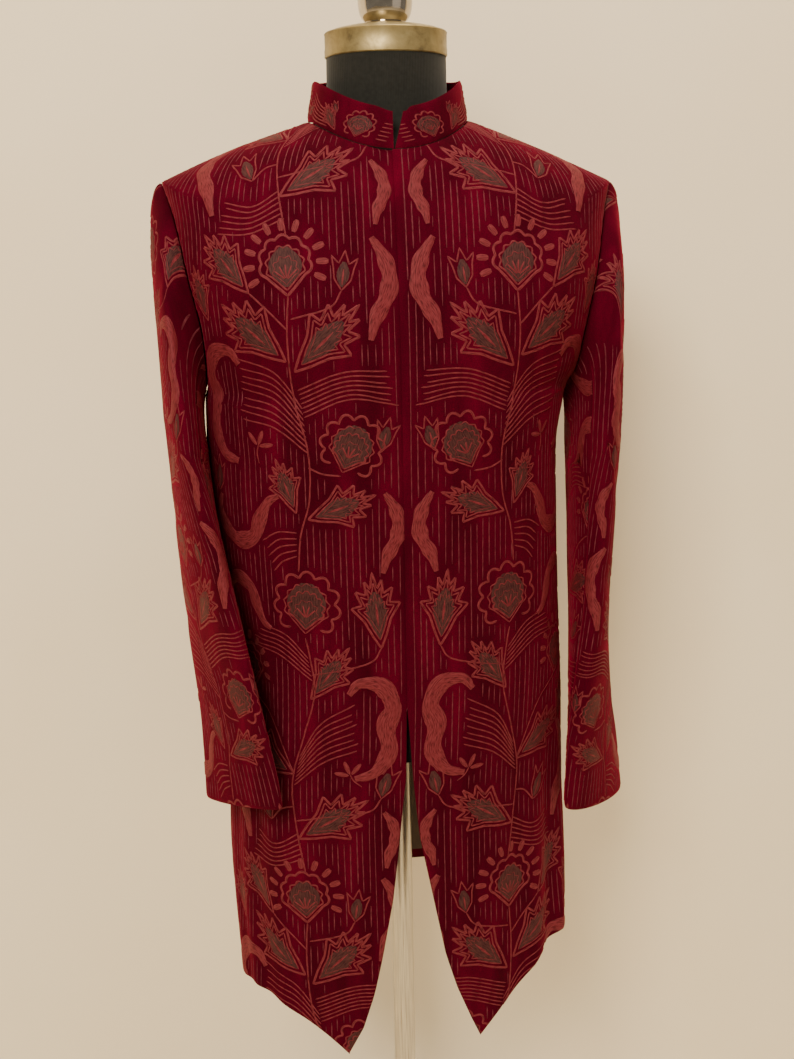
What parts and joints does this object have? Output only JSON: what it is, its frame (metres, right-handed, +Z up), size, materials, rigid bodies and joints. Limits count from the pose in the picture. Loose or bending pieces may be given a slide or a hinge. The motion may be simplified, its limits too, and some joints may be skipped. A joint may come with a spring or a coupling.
{
  "type": "sherwani coat on a limbless dress form",
  "caption": "Long embroidered velvet sherwani coat with band collar and lapped open front, standing on a limbless dress form with pole and round base.",
  "frame": {"origin": "middle of the underside of the form's round base, where it stands on the floor", "axes": "+Z up along the pole, -Y the way the coat's front faces, +X the wearer's left"},
  "size_m": [0.5055, 0.41, 1.6101],
  "materials": {
    "velvet": "cotton velvet with raised tone-on-tone thread embroidery",
    "lining": "plain woven lining",
    "form_cloth": "taut black jersey over a padded form",
    "aged_brass": "aged, mottled patina",
    "bright_metal": "polished",
    "steel": "satin"
  },
  "bodies": {
    "root": {"front_left": "velvet", "front_right": "velvet", "back": "velvet", "back_lining": "lining", "collar": "velvet", "sleeve_left_top": "velvet", "sleeve_left_under": "velvet", "sleeve_right_top": "velvet", "sleeve_right_under": "velvet", "form_torso": "form_cloth", "neck_cap": "aged_brass", "finial": "bright_metal", "pole_socket": "steel", "pole": "steel", "base": "steel"}
  },
  "joints": []
}
